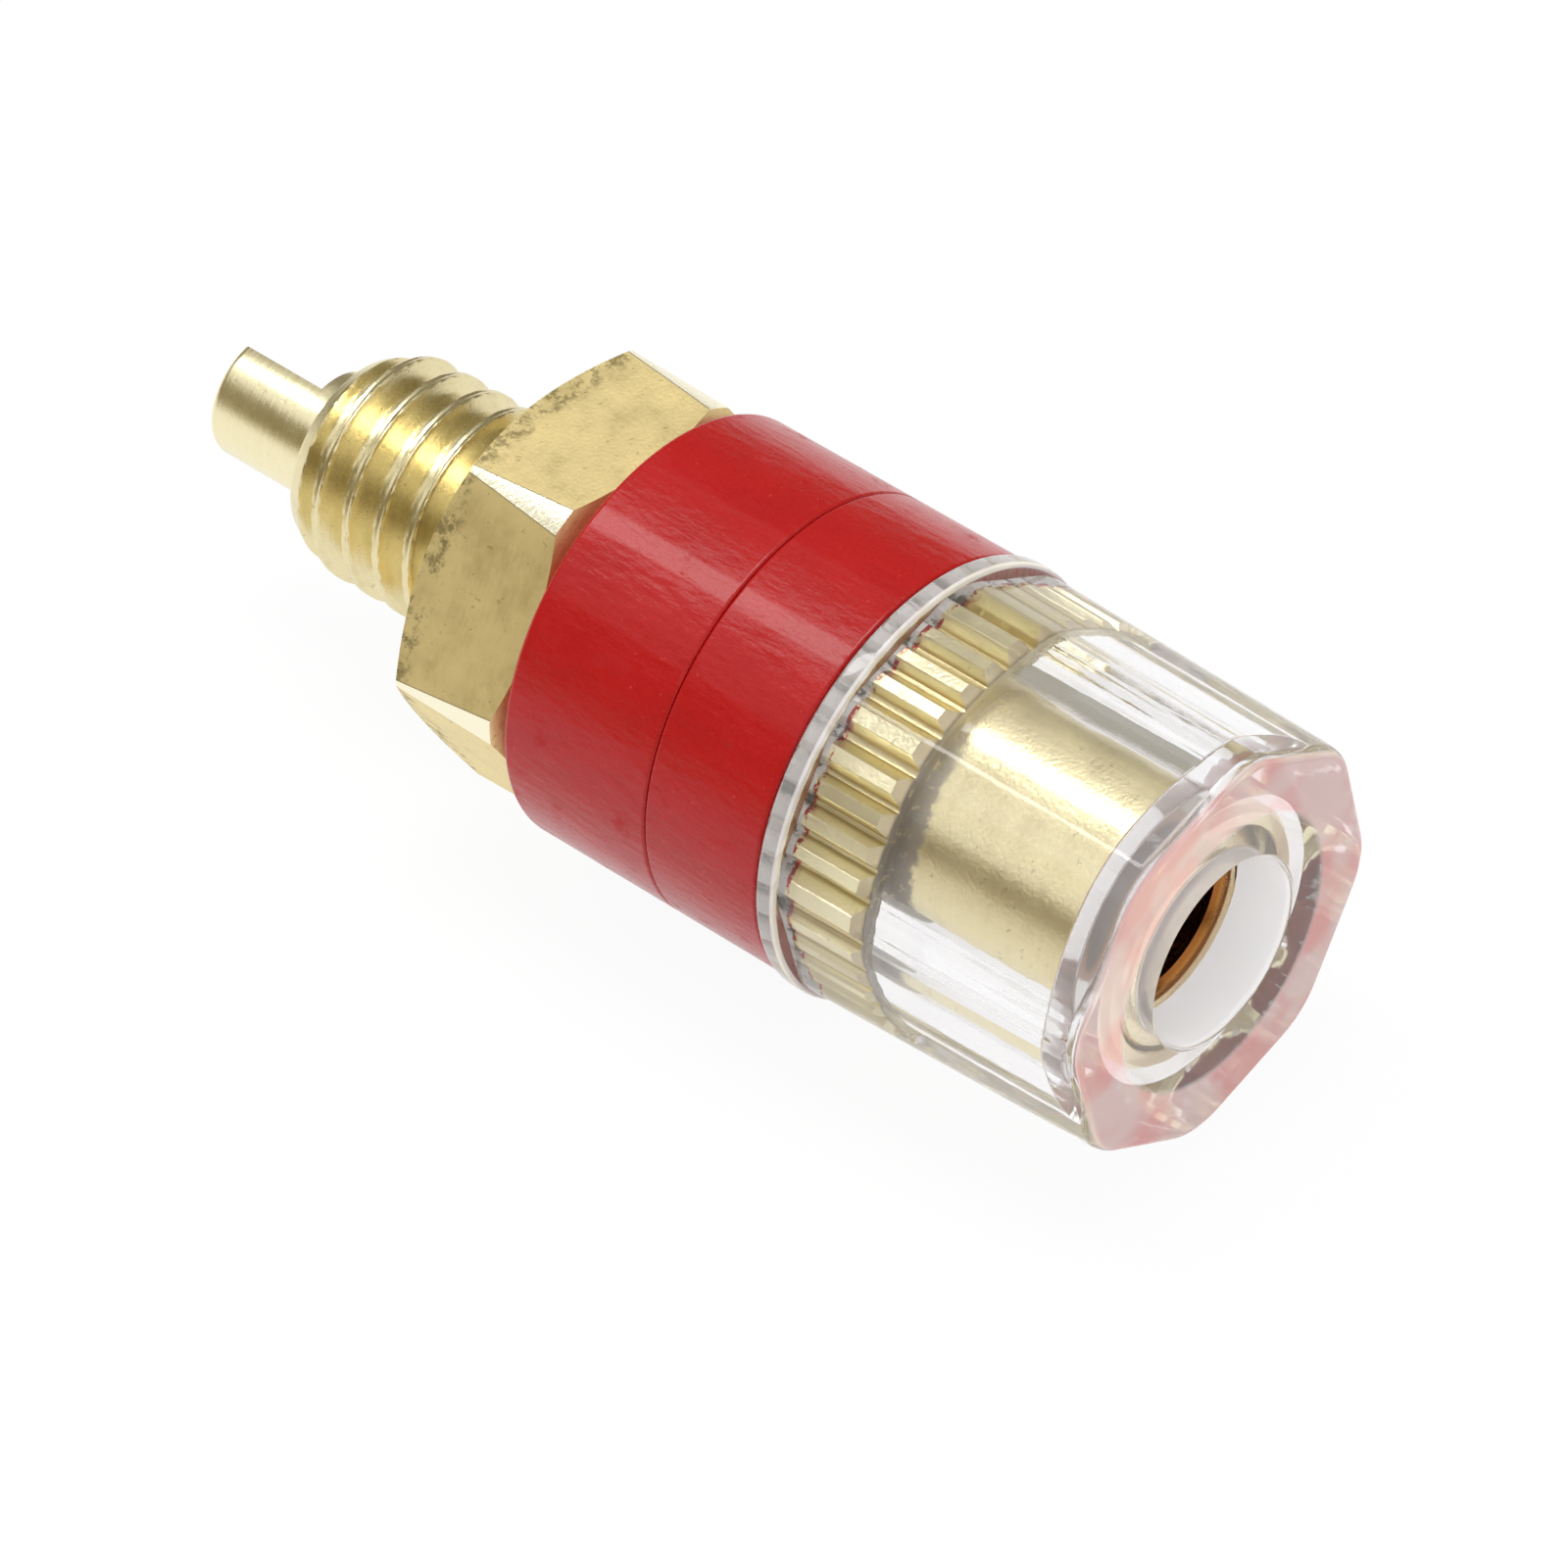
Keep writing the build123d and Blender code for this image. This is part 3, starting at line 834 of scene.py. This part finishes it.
lamp("overhead", (0.04, 0.08, 1.0), (0, 0, 0), (0.45, 0.45), 4.0)
lamp("strip", (-0.065, 0.24, 0.43), (0, 0, 0), (0.085, 0.26), 0.48)


def screen(name, distance, azimuths, elevations, colour, through=True, reflected=True):
    """A curved screen for rays off the gloss or through the cap, which nothing else sees.

    It is part of a sphere, between two azimuths from +X and two elevations: its points are the distance times
    (cos elevation cos azimuth, cos elevation sin azimuth, sin elevation).
    """
    azimuth = np.radians(np.linspace(*azimuths, 25))[None]
    elevation = np.radians(np.linspace(*elevations, 9))[:, None]
    level = np.cos(elevation)
    directions = np.broadcast_arrays(level * np.cos(azimuth), level * np.sin(azimuth), np.sin(elevation))
    points = distance * np.stack(directions, axis=-1)
    rows, columns = points.shape[:2]
    index = np.arange(rows * columns).reshape(rows, columns)
    faces = grid_faces(index)
    mesh = bpy.data.meshes.new(name)
    mesh.from_pydata(points.reshape(-1, 3).tolist(), [], faces.tolist())
    made = bpy.data.objects.new(name, mesh)
    bpy.context.scene.collection.objects.link(made)
    black = {"Base_Color": (0, 0, 0, 1), "Roughness": 1.0, "Specular_IOR_Level": 0.0}
    Finish(name, Emission_Color=(*colour, 1), Emission_Strength=1.0, **black).onto(made)
    made.visible_camera = False
    made.visible_diffuse = False
    made.visible_shadow = False
    made.visible_transmission = through
    made.visible_glossy = reflected


screen("side_screen", 0.7, (104, 215), (-0.4, 32), (0.26, 0.22, 0.13))
screen("room_side", 0.75, (-50, 100), (2, 48), (0.25, 0.23, 0.18), through=False)
screen("room_through", 0.76, (-50, 100), (2, 48), (0.38, 0.36, 0.30), reflected=False)
screen("front_side", 0.8, (-130, -52), (-0.4, 9), (0.10, 0.09, 0.04))
screen("ceiling", 1.6, (-180, 180), (50, 90), (0.50, 0.49, 0.46), through=False)

# Camera
# A long lens at the photograph's angle: it looks down on the cap from the front left.
PHOTO_SIDE = 1600
FOCAL_PIXELS = 10000
PIXELS_PER_MM = 43.75
CAP_CENTRE = (1248.0, 972.3)
SENSOR = 36.0
theta, psi = math.radians(61.25), math.radians(30.45)
# The cap's outward direction, -Y, in the camera's own right, down and forward
cap_right = math.sin(theta) * math.cos(psi)
cap_down = math.sin(theta) * math.sin(psi)
cap_forward = -math.cos(theta)
sideways = math.sqrt(1 - cap_right**2)
right = Vector((sideways, -cap_right, 0))
level = Vector((cap_right, sideways, 0))
dip = math.acos(-cap_forward / sideways)
forward = level * math.cos(dip) - Vector((0, 0, math.sin(dip)))
up = right.cross(forward)
distance = FOCAL_PIXELS / PIXELS_PER_MM
offset = [(centre - PHOTO_SIDE / 2) / PIXELS_PER_MM for centre in CAP_CENTRE]
eye = Vector((0, CAP_FRONT, 0)) - right * offset[0] + up * offset[1] - forward * distance
camera = bpy.data.cameras.new("camera")
camera.sensor_width = SENSOR
camera.lens = SENSOR * FOCAL_PIXELS / PHOTO_SIDE
camera.clip_start = 0.01
camera.clip_end = 20.0
viewer = bpy.data.objects.new("camera", camera)
bpy.context.scene.collection.objects.link(viewer)
turned = Matrix((right, up, -forward)).transposed()
viewer.matrix_world = Matrix.Translation(eye * MM) @ turned.to_4x4()
bpy.context.scene.camera = viewer
bpy.context.scene.view_settings.view_transform = "Standard"
bpy.context.scene.cycles.max_bounces = 32
bpy.context.scene.cycles.diffuse_bounces = 12
bpy.context.scene.cycles.glossy_bounces = 24
bpy.context.scene.cycles.transmission_bounces = 32
